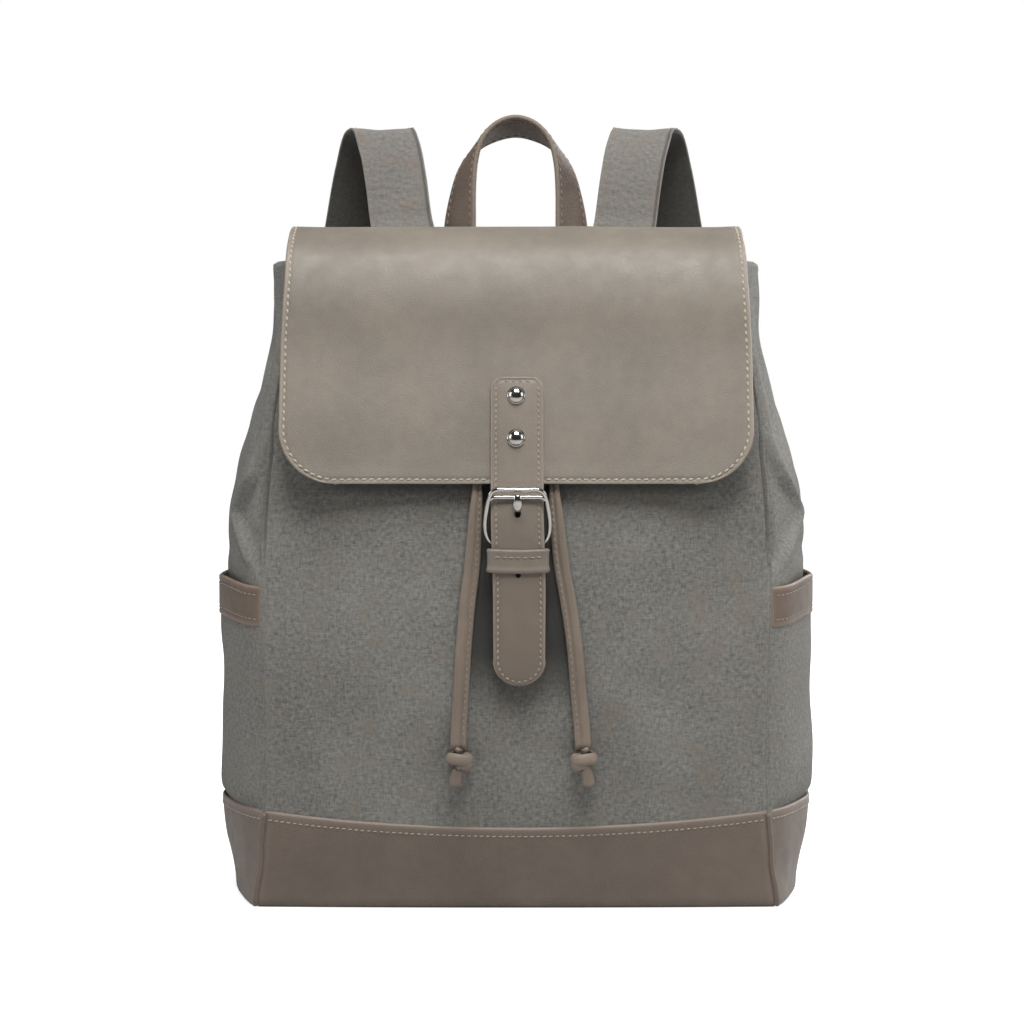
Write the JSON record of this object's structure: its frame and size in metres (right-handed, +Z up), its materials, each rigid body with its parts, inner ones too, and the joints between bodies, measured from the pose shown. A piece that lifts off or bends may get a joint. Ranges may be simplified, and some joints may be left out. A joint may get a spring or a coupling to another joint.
{
  "type": "travel backpack",
  "caption": "Soft canvas backpack with leather base, buckled leather flap over a drawcord mouth, side pockets, top handle and adjustable shoulder straps.",
  "frame": {"origin": "middle of the base on the surface it stands on, halfway between the front and back seams", "axes": "+Z up, -Y is the front with the buckle, +X to the right seen from the front"},
  "size_m": [0.327, 0.2429, 0.4383],
  "materials": {
    "canvas": "woven grey-green canvas, matt",
    "leather": "taupe leather with a soft sheen",
    "dark_leather": "brown-taupe leather edge and trim",
    "cloth": "dark lining cloth",
    "foam": "soft foam sheet",
    "board": "stiff plastic board",
    "steel": "polished nickel"
  },
  "bodies": {
    "bag": {"front_panel": "canvas", "gusset_left": "canvas", "gusset_right": "canvas", "back_panel": "canvas", "back_foam": "foam", "base_front": "leather", "base_left": "leather", "base_right": "leather", "base_back": "leather", "base_bottom": "leather", "base_board": "board", "lining": "cloth", "inner_sleeve": "cloth", "mouth_hem": "canvas", "drawcord_loop": "dark_leather", "eyelets": "steel", "pocket_left": "canvas", "pocket_right": "canvas", "pocket_band_left": "dark_leather", "pocket_band_right": "dark_leather", "snap_socket": "steel", "snap_washer": "steel", "back_yoke": "leather", "handle_anchors": "dark_leather", "strap_anchor_left": "canvas", "strap_anchor_right": "canvas", "strap_tab_left": "leather", "strap_tab_right": "leather"},
    "flap": {"flap_leather": "leather", "flap_lining": "cloth", "closure_strap": "leather", "strap_rivets": "steel", "rivet_washers": "steel", "buckle_chape": "dark_leather", "strap_keeper": "leather", "snap_stud": "steel"},
    "buckle": {"buckle_frame": "steel"},
    "prong": {"buckle_prong": "steel"},
    "handle": {"handle_strap": "dark_leather"},
    "left_strap": {"strap_outer_left": "canvas", "strap_lining_left": "cloth", "webbing_left": "cloth"},
    "right_strap": {"strap_outer_right": "canvas", "strap_lining_right": "cloth", "webbing_right": "cloth"},
    "left_adjuster": {"adjuster_left": "steel"},
    "right_adjuster": {"adjuster_right": "steel"},
    "left_cord": {"drawcord_left": "dark_leather", "knot_left": "dark_leather"},
    "right_cord": {"drawcord_right": "dark_leather", "knot_right": "dark_leather"}
  },
  "joints": [
    {"name": "flap_hinge", "type": "hinge", "parent": "bag", "child": "flap", "pos_m": [0, 0.072, 0.353], "axis": [-1, 0, 0], "range_deg": [0, 85]},
    {"name": "buckle_hinge", "type": "hinge", "parent": "flap", "child": "buckle", "pos_m": [0, -0.0902, 0.196], "axis": [1, 0, 0], "range_deg": [0, 8]},
    {"name": "prong_hinge", "type": "hinge", "parent": "buckle", "child": "prong", "pos_m": [0, -0.0902, 0.196], "axis": [1, 0, 0], "range_deg": [0, 4]},
    {"name": "handle_hinge", "type": "hinge", "parent": "bag", "child": "handle", "pos_m": [0, 0.081, 0.352], "axis": [-1, 0, 0], "range_deg": [-15, 60], "stiffness_Nm_per_rad": 0.1},
    {"name": "left_strap_swing", "type": "hinge", "parent": "bag", "child": "left_strap", "pos_m": [-0.062, 0.076, 0.35], "axis": [0.1923, -0.0099, 0.9813], "range_deg": [-12, 12], "stiffness_Nm_per_rad": 0.3},
    {"name": "right_strap_swing", "type": "hinge", "parent": "bag", "child": "right_strap", "pos_m": [0.062, 0.076, 0.35], "axis": [0.1923, 0.0099, -0.9813], "range_deg": [-12, 12], "stiffness_Nm_per_rad": 0.3},
    {"name": "left_adjuster_slide", "type": "slide", "parent": "left_strap", "child": "left_adjuster", "axis": [0.0166, 0.2922, 0.9562], "range_m": [-0.04, 0.03]},
    {"name": "right_adjuster_slide", "type": "slide", "parent": "right_strap", "child": "right_adjuster", "axis": [-0.0166, 0.2922, 0.9562], "range_m": [-0.04, 0.03]},
    {"name": "left_cord_sway", "type": "hinge", "parent": "bag", "child": "left_cord", "pos_m": [-0.018, -0.0572, 0.333], "axis": [0, 1, 0], "range_deg": [0, 10]},
    {"name": "right_cord_sway", "type": "hinge", "parent": "bag", "child": "right_cord", "pos_m": [0.018, -0.0572, 0.333], "axis": [0, -1, 0], "range_deg": [0, 10]}
  ]
}
